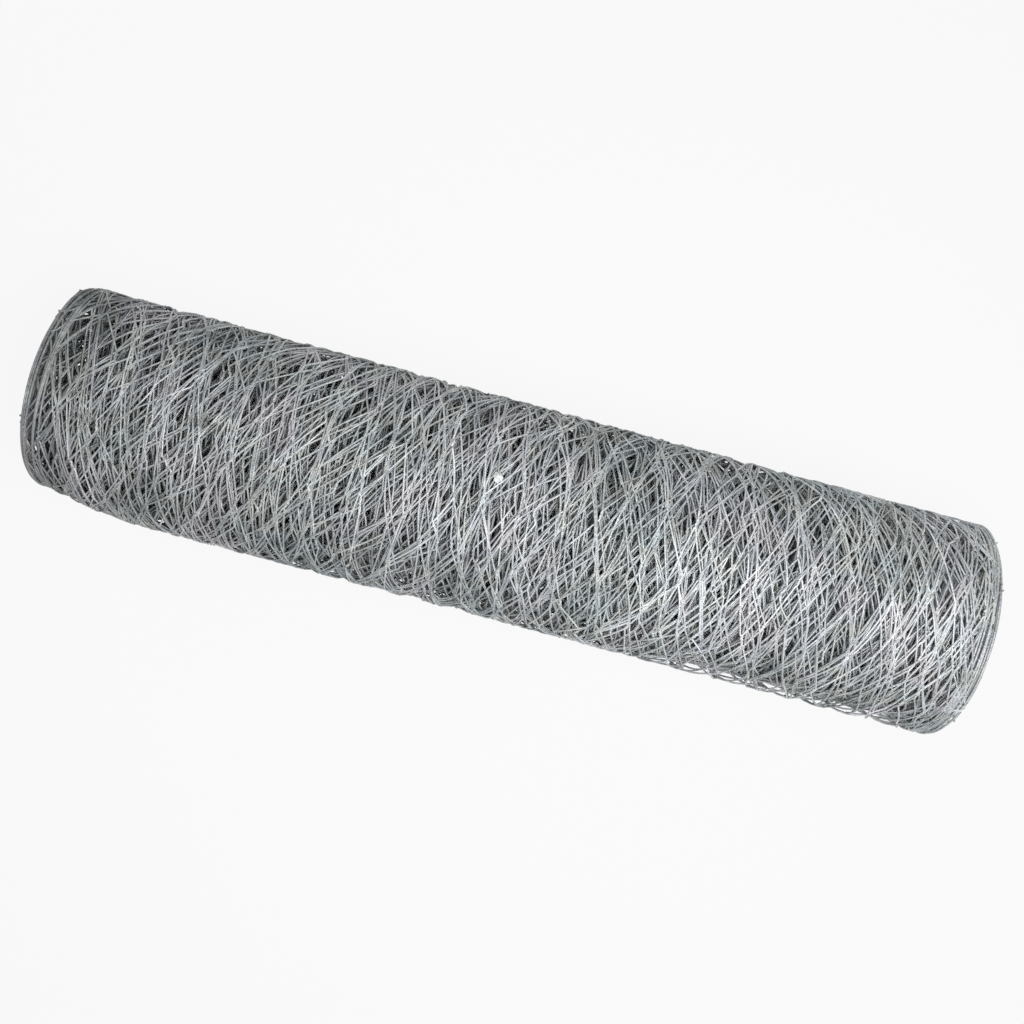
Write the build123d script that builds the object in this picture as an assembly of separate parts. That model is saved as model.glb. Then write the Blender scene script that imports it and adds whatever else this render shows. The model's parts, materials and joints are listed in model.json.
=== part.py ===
"""Roll of hexagonal wire netting (chicken wire), lying on its side.

Frame: millimetres, +X along the roll, +Z up. The origin is on the floor under the middle of the roll.
The netting is one strip wound on itself, so the roll is one turned body with an open bore. The gap
between its turns shows on both ends as a spiral that starts at the bore and runs out to the rim.
"""

import os

from build123d import *

# Driving dimensions of the roll
ROLL_LENGTH = 610.0
ROLL_DIAMETER = 146.0
BORE_DIAMETER = 42.0
RIM_ROUND = 5.0

# The gap between turns, as it shows on the ends
GAP_PITCH = 4.0
GAP_WIDTH = 1.2
GAP_DEPTH = 6.0
BORE_LAND = 2.0
RIM_LAND = 1.5
CUT_OVERRUN = 1.0

ROLL_RADIUS = ROLL_DIAMETER / 2
BORE_RADIUS = BORE_DIAMETER / 2
WALL = ROLL_RADIUS - BORE_RADIUS


def turned_body():
    """The wound strip as a tube turned about X, with both outer rims eased."""
    section = Pos(0, BORE_RADIUS + WALL / 2) * Rectangle(ROLL_LENGTH, WALL)
    outer_corners = section.vertices().sort_by(Axis.Y)[-2:]
    return revolve(fillet(outer_corners, RIM_ROUND), Axis.X)


def half_turn(radius, centre, upper):
    """Half a ring of the gap, above or below the line through the two spiral centres."""
    outer_radius = radius + GAP_WIDTH / 2
    ring = Circle(outer_radius) - Circle(outer_radius - GAP_WIDTH)
    half_plane_align = (Align.CENTER, Align.MIN if upper else Align.MAX)
    half_plane = Rectangle(2 * outer_radius, outer_radius, align=half_plane_align)
    return Pos(centre, 0) * (ring & half_plane)


def spiral_gap():
    """The gap between turns: upper half turns about the axis, lower ones about a point half a pitch aside."""
    first_radius = BORE_RADIUS + BORE_LAND + GAP_WIDTH / 2
    last_radius = ROLL_RADIUS - RIM_ROUND - RIM_LAND - GAP_WIDTH / 2
    turns = int((last_radius - first_radius) / GAP_PITCH)
    halves = []
    for turn in range(turns):
        radius = first_radius + turn * GAP_PITCH
        halves.append(half_turn(radius, 0, upper=True))
        halves.append(half_turn(radius + GAP_PITCH / 2, GAP_PITCH / 2, upper=False))
    return Sketch() + halves


def netting_roll():
    """The turned body with the spiral gap cut into both ends, set down on the floor."""
    gap = extrude(Plane.YZ * spiral_gap(), GAP_DEPTH + CUT_OVERRUN)
    right_gap = Pos(ROLL_LENGTH / 2 - GAP_DEPTH) * gap
    left_gap = right_gap.mirror(Plane.YZ)
    roll = turned_body() - right_gap - left_gap
    return Pos(0, 0, ROLL_RADIUS) * roll


os.makedirs("parts", exist_ok=True)
roll = netting_roll()
roll.label = "netting_roll"
export_step(roll, "parts/netting_roll.step")
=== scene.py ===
"""Looks of a roll of galvanised hexagonal wire netting, lying on its side.

Metres, +X along the roll, +Z up.
"""
import json
import math

import bmesh
import bpy
import numpy as np
from mathutils import Matrix, Vector, noise


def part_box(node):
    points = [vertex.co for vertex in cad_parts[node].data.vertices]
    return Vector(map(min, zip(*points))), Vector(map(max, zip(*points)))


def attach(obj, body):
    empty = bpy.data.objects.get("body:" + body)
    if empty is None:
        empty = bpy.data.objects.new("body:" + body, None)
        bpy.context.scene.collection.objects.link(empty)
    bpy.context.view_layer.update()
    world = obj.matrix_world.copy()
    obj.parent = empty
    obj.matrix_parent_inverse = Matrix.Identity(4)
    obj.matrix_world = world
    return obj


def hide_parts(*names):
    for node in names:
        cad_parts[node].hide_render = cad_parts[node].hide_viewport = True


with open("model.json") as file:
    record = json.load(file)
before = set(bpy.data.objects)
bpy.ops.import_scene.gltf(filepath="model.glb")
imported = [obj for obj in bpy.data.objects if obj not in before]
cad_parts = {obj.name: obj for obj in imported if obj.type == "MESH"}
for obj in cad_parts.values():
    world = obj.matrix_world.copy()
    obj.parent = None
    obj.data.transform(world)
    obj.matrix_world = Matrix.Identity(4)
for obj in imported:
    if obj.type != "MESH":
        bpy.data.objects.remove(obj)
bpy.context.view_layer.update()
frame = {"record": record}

# Netting turns
# The netting is one strip of steel wires, twisted together in pairs into six-sided meshes and then dipped in
# molten zinc. It is wound on itself from the bore outwards, and each turn lies a little slack and askew.
roll_low, roll_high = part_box("netting_roll")
axis_height = (roll_low.z + roll_high.z) / 2
roll_radius = (roll_high.z - roll_low.z) / 2
mm_per_metre = 1000
spindle_bore = next(mount for mount in frame["record"]["mounts"] if mount["name"] == "spindle_bore")
bore_radius = spindle_bore["dims"]["r_mm"] / mm_per_metre

wire_radius = 0.00058
edge_wire_radius = 0.0007
strip_length = 15.24
strip_half_width = 0.3040
mesh_columns = 50
row_pitch = 0.038
twist_length = 0.008
pair_half_turns = 3
edge_half_turns = 4

# The rows of twists lean, so the strip has no whole rows at its ends
rows_left_off = 5
first_row_at = 3.5
rows = int(strip_length / row_pitch) - rows_left_off
columns = mesh_columns + 1

# The turns lie closer together towards the outside
first_turn_radius = bore_radius + 2 * wire_radius
last_turn_radius = roll_radius - wire_radius
tightening = 1.9
free_end_angle = math.radians(-70)
wound_steps = 4000
wound_share = np.linspace(0, 1, wound_steps)
wound_radius = last_turn_radius - (last_turn_radius - first_turn_radius) * (1 - wound_share) ** tightening
wound_arcs = (wound_radius[1:] + wound_radius[:-1]) / 2 * np.diff(wound_share)
wound_length = np.concatenate([[0], np.cumsum(wound_arcs)])
whole_angle = strip_length / wound_length[-1]
wound_length *= whole_angle


def place_in_roll(along):
    """Share wound so far, angle round the roll and turns in from the outside, at places along the strip."""
    share = np.interp(along, wound_length, wound_share)
    angle = free_end_angle + whole_angle * (share - 1)
    turns_in = whole_angle * (1 - share) / (2 * math.pi)
    return share, angle, turns_in


slack_seed = 41
draw = np.random.default_rng(slack_seed)


def waves(count, lengths_along, lengths_across):
    """Random slow waves over the strip, as numbers along it, across it and their starts."""
    along = 2 * math.pi / draw.uniform(*lengths_along, count)
    across = 2 * math.pi / draw.uniform(*lengths_across, count)
    across *= draw.choice([-1, 1], count)
    starts = draw.uniform(0, 2 * math.pi, count)
    return along, across, starts


def sway(wave_set, along, across):
    """The sum of a set of waves at places on the strip, about one in size."""
    total = np.zeros(np.broadcast(along, across).shape)
    for per_along, per_across, start in zip(*wave_set):
        total += np.sin(per_along * along + per_across * across + start)
    return total * math.sqrt(2 / len(wave_set[0]))


side_wander = waves(6, lengths_along=(0.30, 1.6), lengths_across=(20.0, 30.0))
row_skew = waves(6, lengths_along=(0.15, 1.2), lengths_across=(0.25, 0.9))
column_skew = waves(6, lengths_along=(0.10, 0.5), lengths_across=(0.15, 0.6))
bulges = waves(10, lengths_along=(0.06, 0.35), lengths_across=(0.08, 0.5))

# The rows of twists run askew across the strip, and each twist lies a little off its place
row_slope = 0.125
row_curve = 0.75
row_skew_size = 0.008
row_scatter = 0.0034
row_at = (np.arange(rows + 1)[:, None] + first_row_at) * row_pitch
column_at = np.linspace(-strip_half_width, strip_half_width, columns)[None, :]
row_lean = row_slope * column_at - row_curve * column_at ** 2
node_along = row_at + row_lean + row_skew_size * sway(row_skew, row_at, column_at)
node_along += draw.normal(0, row_scatter, (rows + 1, columns))

# The edges run straighter than the mesh between them, which was drawn askew in winding, most on the left
side_wander_size = 0.0028
column_skew_size = 0.0055
column_scatter = 0.0029
edge_hold_power = 4
winding_skew = 0.013
winding_skew_middle_share = 0.6
winding_skew_per_metre = 3.0
winding_skew_shares = (-0.3, 1.0)
inner_columns = np.ones((1, columns))
inner_columns[0, [0, -1]] = 0.0
edge_hold = 1 - np.abs(column_at / strip_half_width) ** edge_hold_power
node_across = column_at + side_wander_size * sway(side_wander, row_at, column_at)
node_across += edge_hold * column_skew_size * sway(column_skew, row_at, column_at)
node_across += inner_columns * draw.normal(0, column_scatter, (rows + 1, columns))
node_angle = place_in_roll(node_along)[1]
winding_skew_share = winding_skew_middle_share - winding_skew_per_metre * column_at
winding_skew_share = np.clip(winding_skew_share, *winding_skew_shares)
node_across += edge_hold * winding_skew * winding_skew_share * np.cos(node_angle)

twist_lean_scatter = 0.0011
whole_wire_tone = 0.55
local_wire_tone = 0.85
node_lean = inner_columns * draw.normal(0, twist_lean_scatter, (rows + 1, columns))
wire_tone = whole_wire_tone * draw.normal(0, 1, (mesh_columns, 1))
wire_tone = wire_tone + local_wire_tone * draw.normal(0, 1, (mesh_columns, rows + 1))

# Each wire crosses the strip by one column at each row of twists, and turns back at the edges
span_side_bow = 0.0006
span_out_bow = 0.0003
steps = 2 * mesh_columns
odd_columns = np.arange(1, columns, 2)
wire_start = np.concatenate([odd_columns, steps - odd_columns])


def wires_between(first_row, end_row, twist_points, span_points):
    """Every wire between two rows of twists: its places along, across and out of the strip, and its tone."""
    row = np.arange(first_row, end_row)[None, :]
    step = (wire_start[:, None] + row) % steps
    column = np.minimum(step, steps - step)
    next_step = (step + 1) % steps
    next_column = np.minimum(next_step, steps - next_step)
    at_edge = (column == 0) | (column == mesh_columns)
    next_at_edge = (next_column == 0) | (next_column == mesh_columns)
    comes_from_right = (step == 0) | (step > mesh_columns)
    leaves_to_right = step < mesh_columns
    side_in = np.where(comes_from_right, 1.0, -1.0)
    side_out = np.where(leaves_to_right, 1.0, -1.0)
    next_side_in = np.where(leaves_to_right, -1.0, 1.0)
    reach = np.where(at_edge, edge_wire_radius + wire_radius, wire_radius)
    next_reach = np.where(next_at_edge, edge_wire_radius + wire_radius, wire_radius)
    half_turns = np.where(at_edge, edge_half_turns, pair_half_turns)

    share = np.linspace(0, 1, twist_points)
    phase = np.where(side_in > 0, 0.0, math.pi)[..., None] + math.pi * half_turns[..., None] * share
    middle_along = node_along[row, column][..., None]
    middle_across = node_across[row, column][..., None]
    lean = node_lean[row, column][..., None]
    twist_along = middle_along + twist_length * (share - 0.5)
    twist_across = middle_across + 2 * lean * (share - 0.5) + reach[..., None] * np.cos(phase)
    twist_out = reach[..., None] * np.sin(phase)

    part = np.arange(1, span_points + 1) / (span_points + 1)
    bow = np.sin(math.pi * part)
    from_along = twist_along[..., -1:]
    to_along = node_along[row + 1, next_column][..., None] - twist_length / 2
    from_across = middle_across + lean + (reach * side_out)[..., None]
    to_across = node_across[row + 1, next_column][..., None] - node_lean[row + 1, next_column][..., None]
    to_across = to_across + (next_reach * next_side_in)[..., None]
    side_bow = draw.normal(0, span_side_bow, step.shape)[..., None]
    out_bow = draw.normal(0, span_out_bow, step.shape)[..., None]
    span_along = from_along + (to_along - from_along) * part
    span_across = from_across + (to_across - from_across) * part + side_bow * bow
    span_out = out_bow * bow

    tone = wire_tone[:, first_row:end_row, None]
    next_tone = wire_tone[:, first_row + 1:end_row + 1, None]
    twist_tone = tone + 0 * share
    span_tone = tone + (next_tone - tone) * part

    runs = [
        (twist_along, span_along, to_along),
        (twist_across, span_across, to_across),
        (twist_out, span_out, 0 * to_along),
        (twist_tone, span_tone, next_tone),
    ]
    wires = []
    for twist, span, next_twist in runs:
        wire = np.concatenate([twist, span], axis=2).reshape(mesh_columns, -1)
        wires.append(np.concatenate([wire, next_twist[:, -1]], axis=1))
    return wires


# Painted shade darkens the zinc deep in the roll and most at the left edge, the zinc is darker to the left,
# and a painted pool of light makes it paler in one place in front
tone_spread = 0.17
deep_painted_shade = 0.20
deep_painted_shade_turns = 6
side_darkening = 0.13
left_edge_painted_shade = 0.30
left_edge_from = -0.268
left_edge_width = 0.022
painted_light_gain = 0.24
painted_light_across = 0.10
painted_light_reach = 0.05
painted_light_angle = math.radians(115)
painted_light_power = 6


def tone_and_painted_light(tone, along, across):
    """How bright the zinc is at places on the strip, for wires of these tones, with painted shade and a
    painted pool of light.
    """
    _, angle, turns_in = place_in_roll(along)
    # Painted shade: the zinc is painted darker the deeper a turn lies in the roll, where the turns above
    # shade it
    depth_shade_share = 1 - deep_painted_shade + deep_painted_shade * np.exp(-turns_in / deep_painted_shade_turns)
    # The zinc is darker towards the left end and lighter towards the right
    side_share = 1 + side_darkening * across / strip_half_width
    # Painted shade: the zinc is painted darker in a band at the left edge, where the sunken turn edges lie
    # in shade
    edge_shade_share = 1 - left_edge_painted_shade * np.clip((left_edge_from - across) / left_edge_width, 0, 1)
    # Painted light: a pool of light is painted onto the zinc in one place in front, making it paler there
    pale = np.exp(-((across - painted_light_across) / painted_light_reach) ** 2)
    pale = pale * np.clip(np.cos(angle - painted_light_angle), 0, 1) ** painted_light_power
    return np.exp(tone_spread * tone) * depth_shade_share * side_share * edge_shade_share * (1 + painted_light_gain * pale)


# The outer turns are drawn in at their edges. The roll is dented at its lower left, slack along its lower
# right, where the outermost turns stand off, and pressed flat where it lies.
left_narrowing = 0.046
right_narrowing = 0.024
narrowing_turns = 5.5
proud_of_surface = 0.0003
inner_slack = 0.0003
outer_tautness = 0.00012
taut_turns = 4
dent_depth = 0.0110
dent_from = -0.236
dent_length = 0.060
dent_angle = math.radians(195)
stand_off_depth = 0.0055
stand_off_from = 0.10
stand_off_to = 0.30
stand_off_run = 0.03
stand_off_angle = math.radians(175)
stand_off_power = 12
stand_off_first_turn = 1.5
stand_off_turns = 2
least_slope = 0.05


def wound(along, across, out):
    """Where places on the flat strip come to lie in the roll."""
    share, angle, turns_in = place_in_roll(along)
    radius = np.interp(share, wound_share, wound_radius)
    narrowing = np.where(across < 0, left_narrowing, right_narrowing)
    across = across * (1 - narrowing * np.exp(-turns_in / narrowing_turns))
    slack = inner_slack - outer_tautness * np.exp(-turns_in / taut_turns)
    radius = radius + out + slack * sway(bulges, along, across)
    radius = np.minimum(radius, last_turn_radius + proud_of_surface)
    dent = np.clip((dent_from - across) / dent_length, 0, 1) ** 2
    dent = dent * np.clip(np.cos(angle - dent_angle), 0, 1) ** 2
    radius = radius - dent_depth * dent * radius / last_turn_radius
    stand_off = np.clip((across - stand_off_from) / stand_off_run, 0, 1)
    stand_off = stand_off * np.clip((stand_off_to - across) / stand_off_run, 0, 1)
    stand_off = stand_off * np.clip(np.cos(angle - stand_off_angle), 0, 1) ** stand_off_power
    stand_off = stand_off * np.clip((turns_in - stand_off_first_turn) / stand_off_turns, 0, 1)
    radius = radius - stand_off_depth * stand_off * radius / last_turn_radius
    lowest = (axis_height - wire_radius) / np.maximum(-np.sin(angle), least_slope)
    radius = np.where(np.sin(angle) < 0, np.minimum(radius, lowest), radius)
    return np.stack([across, radius * np.cos(angle), axis_height + radius * np.sin(angle)], axis=-1)


def lay_finish_map(mesh, count, length, sides):
    """A map for the finish: the wires' lengths as strips above each other, their cut ends in a last row."""
    in_all = count * (length - 1)
    in_strip = math.ceil(math.sqrt(in_all))
    strips = math.ceil(in_all / in_strip) + 1
    gap = 0.1
    cap_reach = 0.4
    step = np.arange(in_all)[:, None, None]
    side = np.arange(sides)[None, :, None]
    u = (step % in_strip + np.array([0, 0, 1, 1])) / in_strip + 0 * side
    v = (step // in_strip + gap + (1 - 2 * gap) * (side + np.array([0, 1, 1, 0])) / sides) / strips
    turn = 2 * math.pi * np.arange(sides) / sides
    end = np.arange(2 * count)[:, None]
    end_u = (end + 0.5 + cap_reach * np.cos(turn)) / (2 * count)
    end_v = (strips - 0.5 + cap_reach * np.sin(turn) + 0 * end) / strips
    strip_places = np.stack([u, v], -1).reshape(-1, 2)
    end_places = np.stack([end_u, end_v], -1).reshape(-1, 2)
    places = np.concatenate([strip_places, end_places]).astype(np.float32)
    mesh.uv_layers.new(name="OFBake").uv.foreach_set("vector", places.ravel())


def wire_tubes(name, centre, brightness, radius, sides):
    """Closed wires along rows of places, as wide as round ones on average, as one mesh object."""
    count, length = centre.shape[:2]
    along = np.gradient(centre, axis=1)
    along /= np.linalg.norm(along, axis=2, keepdims=True)
    outward = centre - np.array([0, 0, axis_height])
    outward[..., 0] = 0
    sideways = np.cross(along, outward)
    sideways /= np.linalg.norm(sideways, axis=2, keepdims=True)
    outward = np.cross(sideways, along)
    turn = 2 * math.pi * np.arange(sides)[:, None] / sides
    ring = np.cos(turn) * sideways[..., None, :] - np.sin(turn) * outward[..., None, :]
    width_share = math.pi / (sides * math.sin(math.pi / sides))
    points = centre[..., None, :] + radius * width_share * ring

    number = np.arange(count * length * sides).reshape(count, length, sides)
    ahead = np.roll(number, -1, axis=2)
    quads = np.stack([number[:, :-1], ahead[:, :-1], ahead[:, 1:], number[:, 1:]], axis=-1).reshape(-1, 4)
    near_caps = number[:, 0, ::-1].reshape(-1, sides)
    far_caps = number[:, -1].reshape(-1, sides)
    corners = np.concatenate([quads.ravel(), near_caps.ravel(), far_caps.ravel()])
    sizes = np.concatenate([np.full(len(quads), 4), np.full(2 * count, sides)])
    starts = np.concatenate([[0], np.cumsum(sizes)[:-1]])
    is_length = np.arange(len(sizes)) < len(quads)

    mesh = bpy.data.meshes.new(name)
    mesh.vertices.add(points.size // 3)
    mesh.vertices.foreach_set("co", points.astype(np.float32).ravel())
    mesh.loops.add(len(corners))
    mesh.loops.foreach_set("vertex_index", corners.astype(np.int32))
    mesh.polygons.add(len(sizes))
    mesh.polygons.foreach_set("loop_start", starts.astype(np.int32))
    mesh.polygons.foreach_set("use_smooth", is_length)
    mesh.update(calc_edges=True)
    mesh.validate()
    lay_finish_map(mesh, count, length, sides)
    point_brightness = np.repeat(brightness.ravel(), sides).astype(np.float32)
    mesh.attributes.new("zinc_brightness", "FLOAT", "POINT").data.foreach_set("value", point_brightness)
    piece = bpy.data.objects.new(name, mesh)
    bpy.context.scene.collection.objects.link(piece)
    return piece


def row_at_turn_from_outside(turns):
    """The row of twists that lies this many turns in from the outside."""
    share = max(1 - turns * 2 * math.pi / whole_angle, 0)
    along = np.interp(share, wound_share, wound_length)
    return max(int(along / row_pitch) - int(first_row_at), 0)


def add_node(tree, kind, **values):
    """A node in a finish, with values for its inputs by name."""
    node = tree.nodes.new(kind)
    for name, value in values.items():
        node.inputs[name].default_value = value
    return node


def set_shades(ramp, shades):
    """The places and colours of a ramp, as pairs."""
    stops = ramp.color_ramp.elements
    while len(stops) < len(shades):
        stops.new(1.0)
    for stop, (place, shade) in zip(stops, shades):
        stop.position = place
        stop.color = (*shade, 1)


def spread(tree, value, from_low, from_high, to_low, to_high):
    """A value in a finish, moved from one range to another."""
    ranges = {"From Min": from_low, "From Max": from_high, "To Min": to_low, "To Max": to_high}
    node = add_node(tree, "ShaderNodeMapRange", **ranges)
    tree.links.new(value, node.inputs["Value"])
    return node.outputs["Result"]


# The zinc is a dull, uneven grey, with a fine crystal grain and a bloom of pale oxide in places, and each
# wire's brightness adds painted shade and a painted pool of light
zinc = bpy.data.materials.new("galvanised_zinc")
zinc.use_nodes = True
zinc_tree = zinc.node_tree
zinc_link = zinc_tree.links.new
zinc_shader = zinc_tree.nodes["Principled BSDF"]
zinc_place = add_node(zinc_tree, "ShaderNodeTexCoord").outputs["Object"]
patches = add_node(zinc_tree, "ShaderNodeTexNoise", Scale=24.0, Detail=3.0, Roughness=0.6)
mottle = add_node(zinc_tree, "ShaderNodeTexNoise", Scale=110.0, Detail=2.0, Roughness=0.6)
crystals = add_node(zinc_tree, "ShaderNodeTexVoronoi", Scale=900.0)
grain = add_node(zinc_tree, "ShaderNodeTexNoise", Scale=2600.0, Detail=2.0)
hue = add_node(zinc_tree, "ShaderNodeTexNoise", Scale=24.0, Detail=2.0, Distortion=0.6)
bloom = add_node(zinc_tree, "ShaderNodeTexNoise", Scale=55.0, Detail=5.0, Roughness=0.65)
for pattern in (patches, mottle, crystals, grain, hue, bloom):
    zinc_link(zinc_place, pattern.inputs["Vector"])

crystal_tone = add_node(zinc_tree, "ShaderNodeSeparateColor")
zinc_link(crystals.outputs["Color"], crystal_tone.inputs["Color"])
broad_tone = add_node(zinc_tree, "ShaderNodeMix", Factor=0.45)
zinc_link(patches.outputs["Fac"], broad_tone.inputs["A"])
zinc_link(mottle.outputs["Fac"], broad_tone.inputs["B"])
zinc_tone = add_node(zinc_tree, "ShaderNodeMix", Factor=0.14)
zinc_link(broad_tone.outputs["Result"], zinc_tone.inputs["A"])
zinc_link(crystal_tone.outputs["Red"], zinc_tone.inputs["B"])
zinc_shades = add_node(zinc_tree, "ShaderNodeValToRGB")
set_shades(zinc_shades, [
    (0.35, (0.36, 0.368, 0.377)),
    (0.50, (0.58, 0.593, 0.607)),
    (0.65, (0.71, 0.72, 0.73)),
])
zinc_link(zinc_tone.outputs["Result"], zinc_shades.inputs["Fac"])

tints = add_node(zinc_tree, "ShaderNodeValToRGB")
set_shades(tints, [
    (0.38, (0.935, 0.995, 1.00)),
    (0.46, (0.995, 1.00, 0.95)),
    (0.53, (0.94, 0.975, 1.00)),
    (0.62, (1.00, 0.98, 0.985)),
])
zinc_link(hue.outputs["Fac"], tints.inputs["Fac"])
tinted = add_node(zinc_tree, "ShaderNodeMixRGB", Fac=1.0)
tinted.blend_type = "MULTIPLY"
zinc_link(zinc_shades.outputs["Color"], tinted.inputs["Color1"])
zinc_link(tints.outputs["Color"], tinted.inputs["Color2"])

# Each wire's brightness holds its own random tone and also painted shade and a painted pool of light
wire_brightness = add_node(zinc_tree, "ShaderNodeAttribute")
wire_brightness.attribute_name = "zinc_brightness"
uneven_and_shaded = add_node(zinc_tree, "ShaderNodeMixRGB", Fac=1.0)
uneven_and_shaded.blend_type = "MULTIPLY"
uneven_and_shaded.use_clamp = True
zinc_link(tinted.outputs["Color"], uneven_and_shaded.inputs["Color1"])
zinc_link(wire_brightness.outputs["Fac"], uneven_and_shaded.inputs["Color2"])

oxide_colour = (0.70, 0.72, 0.72, 1)
oxide = spread(zinc_tree, bloom.outputs["Fac"], from_low=0.56, from_high=0.74, to_low=0, to_high=0.75)
bloomed = add_node(zinc_tree, "ShaderNodeMixRGB", Color2=oxide_colour)
zinc_link(oxide, bloomed.inputs["Fac"])
zinc_link(uneven_and_shaded.outputs["Color"], bloomed.inputs["Color1"])
zinc_link(bloomed.outputs["Color"], zinc_shader.inputs["Base Color"])

metal = spread(zinc_tree, oxide, from_low=0, from_high=1, to_low=0.4, to_high=0.2)
zinc_link(metal, zinc_shader.inputs["Metallic"])
zinc_dullness = spread(
    zinc_tree, zinc_tone.outputs["Result"], from_low=0.3, from_high=0.7, to_low=0.72, to_high=0.50)
zinc_link(zinc_dullness, zinc_shader.inputs["Roughness"])

relief = add_node(zinc_tree, "ShaderNodeMix", Factor=0.4)
zinc_link(grain.outputs["Fac"], relief.inputs["A"])
zinc_link(crystal_tone.outputs["Green"], relief.inputs["B"])
zinc_bump = add_node(zinc_tree, "ShaderNodeBump", Strength=0.35, Distance=0.00008)
zinc_link(relief.outputs["Result"], zinc_bump.inputs["Height"])
zinc_link(zinc_bump.outputs["Normal"], zinc_shader.inputs["Normal"])

# Name, first and last turn from the outside, points on a twist, points on a span and sides of the wire
turn_groups = [
    ("outer_turns_a", 0, 3, 7, 3, 5),
    ("outer_turns_b", 3, 6, 6, 2, 5),
    ("middle_turns_a", 6, 10, 6, 2, 4),
    ("middle_turns_b", 10, 16, 4, 1, 4),
    ("inner_turns_a", 16, 27, 4, 1, 3),
    ("inner_turns_b", 27, 36, 4, 1, 3),
    ("bore_turns", 36, 90, 4, 3, 3),
]
for name, outer_turn, inner_turn, twist_points, span_points, sides in turn_groups:
    first_row = row_at_turn_from_outside(inner_turn)
    end_row = rows if outer_turn == 0 else row_at_turn_from_outside(outer_turn)
    along, across, out, tone = wires_between(first_row, end_row, twist_points, span_points)
    turns_centre = wound(along, across, out)
    turns_brightness = tone_and_painted_light(tone, along, across)
    turns_piece = wire_tubes(name, turns_centre, turns_brightness, wire_radius, sides)
    turns_piece.data.materials.append(zinc)
    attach(turns_piece, "root")
    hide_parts("netting_roll")

# Edge wires
# A straight, slightly thicker steel wire runs along each edge of the strip. The mesh wires are wrapped round
# it, and the same zinc covers both. The turns' edges don't lie quite level, so they show on the ends as a
# band of wires side by side.
edge_step = 0.006
edge_sides = 4
for name, column in (("edge_wire_left", 0), ("edge_wire_right", mesh_columns)):
    edge_along = np.arange(node_along[0, column], node_along[-1, column], edge_step)
    edge_across = np.interp(edge_along, node_along[:, column], node_across[:, column])
    edge_centre = wound(edge_along, edge_across, 0 * edge_along)[None]
    edge_brightness = tone_and_painted_light(0 * edge_along, edge_along, edge_across)[None]
    edge_piece = wire_tubes(name, edge_centre, edge_brightness, edge_wire_radius, edge_sides)
    edge_piece.data.materials.append(zinc)
    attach(edge_piece, "root")
    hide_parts("netting_roll")

# Drop of zinc
# Molten zinc gathered over a few crossing wires as the netting came out of its bath and set there as a pale,
# rough lump. It is part of the coating and holds by itself.
drop_along = -0.0150
drop_across = 0.0183
drop_half_width = 0.0030
drop_half_height = 0.0010
drop_fineness = 4
lump_share = 0.42
lump_scale = 1.7
lump_place = Vector((3, 1, 4))
lump_fading = 0.9
lump_shrinking = 2.1
lump_layers = 4
drop_out = math.sqrt(last_turn_radius ** 2 - drop_across ** 2)
drop_outward = Vector((0, drop_across, drop_out)).normalized()
drop_mesh = bpy.data.meshes.new("zinc_drop")
drop_shape = bmesh.new()
bmesh.ops.create_icosphere(drop_shape, subdivisions=drop_fineness, radius=1.0)
for point in drop_shape.verts:
    way = point.co.normalized()
    swell = noise.fractal(way * lump_scale + lump_place, lump_fading, lump_shrinking, lump_layers)
    point.co = way * (1 + lump_share * swell)
    point.co.x *= drop_half_width
    point.co.y *= drop_half_width
    point.co.z *= drop_half_height
drop_shape.to_mesh(drop_mesh)
drop_shape.free()
drop_mesh.polygons.foreach_set("use_smooth", [True] * len(drop_mesh.polygons))
drop_mesh.transform(drop_outward.to_track_quat("Z", "X").to_matrix().to_4x4())
drop_mesh.transform(Matrix.Translation((drop_along, drop_across, axis_height + drop_out)))
drop = bpy.data.objects.new("zinc_drop", drop_mesh)
bpy.context.scene.collection.objects.link(drop)

drop_zinc = bpy.data.materials.new("pale_zinc")
drop_zinc.use_nodes = True
drop_tree = drop_zinc.node_tree
drop_link = drop_tree.links.new
drop_shader = drop_tree.nodes["Principled BSDF"]
drop_shader.inputs["Metallic"].default_value = 0.15
drop_place = add_node(drop_tree, "ShaderNodeTexCoord").outputs["Object"]
drop_mottle = add_node(drop_tree, "ShaderNodeTexNoise", Scale=700.0, Detail=4.0, Roughness=0.6)
drop_link(drop_place, drop_mottle.inputs["Vector"])
drop_shades = add_node(drop_tree, "ShaderNodeValToRGB")
set_shades(drop_shades, [
    (0.35, (0.62, 0.65, 0.63)),
    (0.60, (0.86, 0.88, 0.87)),
])
drop_link(drop_mottle.outputs["Fac"], drop_shades.inputs["Fac"])
drop_link(drop_shades.outputs["Color"], drop_shader.inputs["Base Color"])
drop_dullness = spread(
    drop_tree, drop_mottle.outputs["Fac"], from_low=0, from_high=1, to_low=0.65, to_high=0.40)
drop_link(drop_dullness, drop_shader.inputs["Roughness"])
drop_bump = add_node(drop_tree, "ShaderNodeBump", Strength=0.5, Distance=0.0002)
drop_link(drop_mottle.outputs["Fac"], drop_bump.inputs["Height"])
drop_link(drop_bump.outputs["Normal"], drop_shader.inputs["Normal"])
drop_mesh.materials.append(drop_zinc)
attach(drop, "root")
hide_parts("netting_roll")

# Floor
# A plain pale floor, far wider than the roll, which isn't part of it. It looks white where it is seen, still
# carries the roll's soft shadow, and lights the roll as a plain grey surface does.
floor_half = 20.0
floor_drop = 0.0004
floor_colour = (0.70, 0.70, 0.70, 1)
floor_roughness = 0.9
floor_whiteness = 0.90
floor_corners = [(-floor_half, -floor_half, 0), (floor_half, -floor_half, 0)]
floor_corners += [(floor_half, floor_half, 0), (-floor_half, floor_half, 0)]
floor_mesh = bpy.data.meshes.new("floor")
floor_mesh.from_pydata(floor_corners, [], [(0, 1, 2, 3)])
floor = bpy.data.objects.new("floor", floor_mesh)
floor.location.z = roll_low.z - floor_drop
bpy.context.scene.collection.objects.link(floor)

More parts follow.
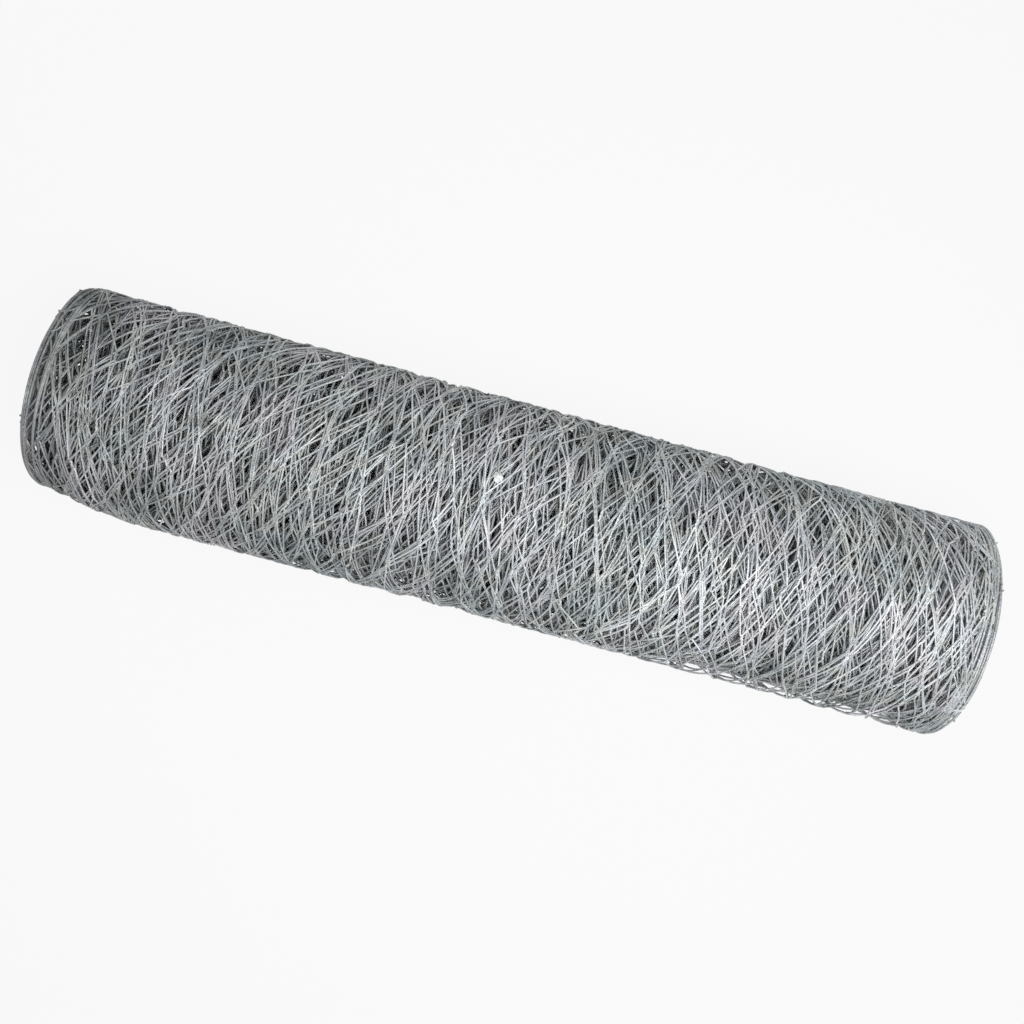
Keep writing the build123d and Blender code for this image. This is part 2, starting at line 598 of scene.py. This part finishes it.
floor_paint = bpy.data.materials.new("floor_paint")
floor_paint.use_nodes = True
floor_tree = floor_paint.node_tree
floor_link = floor_tree.links.new
floor_shader = floor_tree.nodes["Principled BSDF"]
floor_shader.inputs["Base Color"].default_value = floor_colour
floor_shader.inputs["Roughness"].default_value = floor_roughness


def seen_by_eye_or_mirror(tree):
    """One where a surface is seen directly, mirrored or through glass, and nothing where it only lights."""
    rays = add_node(tree, "ShaderNodeLightPath")
    seen = rays.outputs["Is Camera Ray"]
    for kind in ("Is Glossy Ray", "Is Transmission Ray"):
        either = add_node(tree, "ShaderNodeMath")
        either.operation = "MAXIMUM"
        tree.links.new(seen, either.inputs[0])
        tree.links.new(rays.outputs[kind], either.inputs[1])
        seen = either.outputs["Value"]
    return seen


floor_seen = seen_by_eye_or_mirror(floor_tree)
whiteness = spread(floor_tree, floor_seen, from_low=0, from_high=1, to_low=0, to_high=floor_whiteness)
white = add_node(floor_tree, "ShaderNodeEmission", Strength=1.0)
floor_mix = add_node(floor_tree, "ShaderNodeMixShader")
floor_link(whiteness, floor_mix.inputs["Fac"])
floor_link(floor_shader.outputs["BSDF"], floor_mix.inputs[1])
floor_link(white.outputs["Emission"], floor_mix.inputs[2])
floor_link(floor_mix.outputs["Shader"], floor_tree.nodes["Material Output"].inputs["Surface"])
floor_mesh.materials.append(floor_paint)

# Camera
# It looks straight down on the roll from a little over three quarters of a metre above the roll's axis. The
# roll lies turned in the picture, with its left end a hair nearer than its right.
camera_distance = 0.782
picture_turn = math.radians(14.98)
axis_lean = -0.0189
focal_pixels = 1167
picture_pixels = 1024
nearest_seen = 0.01
back = Vector((axis_lean, 0, math.sqrt(1 - axis_lean ** 2)))
along_axis = Vector((back.z, 0, -back.x))
across_axis = back.cross(along_axis)
camera_right = math.cos(picture_turn) * along_axis + math.sin(picture_turn) * across_axis
camera_up = -math.sin(picture_turn) * along_axis + math.cos(picture_turn) * across_axis
camera_data = bpy.data.cameras.new("camera")
camera_data.lens = camera_data.sensor_width * focal_pixels / picture_pixels
camera_data.clip_start = nearest_seen
camera_place = Matrix((camera_right, camera_up, back)).transposed().to_4x4()
camera_place.translation = Vector((0, 0, axis_height)) + camera_distance * back
camera = bpy.data.objects.new("camera", camera_data)
camera.matrix_world = camera_place
bpy.context.scene.collection.objects.link(camera)
bpy.context.scene.camera = camera

# Light
# One soft lamp hangs above the roll, two weak ones stand off its ends on opposite sides, and an even white
# surround fills the shadows.
lamp_places = {
    "key": Vector((0.15, -0.08, axis_height + 0.80)),
    "left_fill": Vector((-1.2, 0.6, 0.75)),
    "right_fill": Vector((1.2, -0.6, 0.75)),
}
lamp_sizes = {"key": (0.50, 0.45), "left_fill": (1.0, 1.0), "right_fill": (1.0, 1.0)}
lamp_watts = {"key": 4.7, "left_fill": 3.6, "right_fill": 3.6}
surround_lighting = 0.11
surround_whiteness = 0.92
for name, lamp_place in lamp_places.items():
    lamp_data = bpy.data.lights.new(name, "AREA")
    lamp_data.shape = "ELLIPSE"
    lamp_data.size, lamp_data.size_y = lamp_sizes[name]
    lamp_data.energy = lamp_watts[name]
    lamp = bpy.data.objects.new(name, lamp_data)
    lamp.location = lamp_place
    lamp.rotation_euler = (Vector((0, 0, axis_height)) - lamp_place).to_track_quat("-Z", "Y").to_euler()
    bpy.context.scene.collection.objects.link(lamp)

surround = bpy.data.worlds.new("surround")
surround.use_nodes = True
surround_tree = surround.node_tree
surround_light = surround_tree.nodes["Background"]
surround_light.inputs["Color"].default_value = (1, 1, 1, 1)
surround_seen = seen_by_eye_or_mirror(surround_tree)
surround_level = spread(
    surround_tree, surround_seen,
    from_low=0, from_high=1, to_low=surround_lighting, to_high=surround_whiteness)
surround_tree.links.new(surround_level, surround_light.inputs["Strength"])
bpy.context.scene.world = surround
bpy.context.scene.view_settings.view_transform = "Standard"
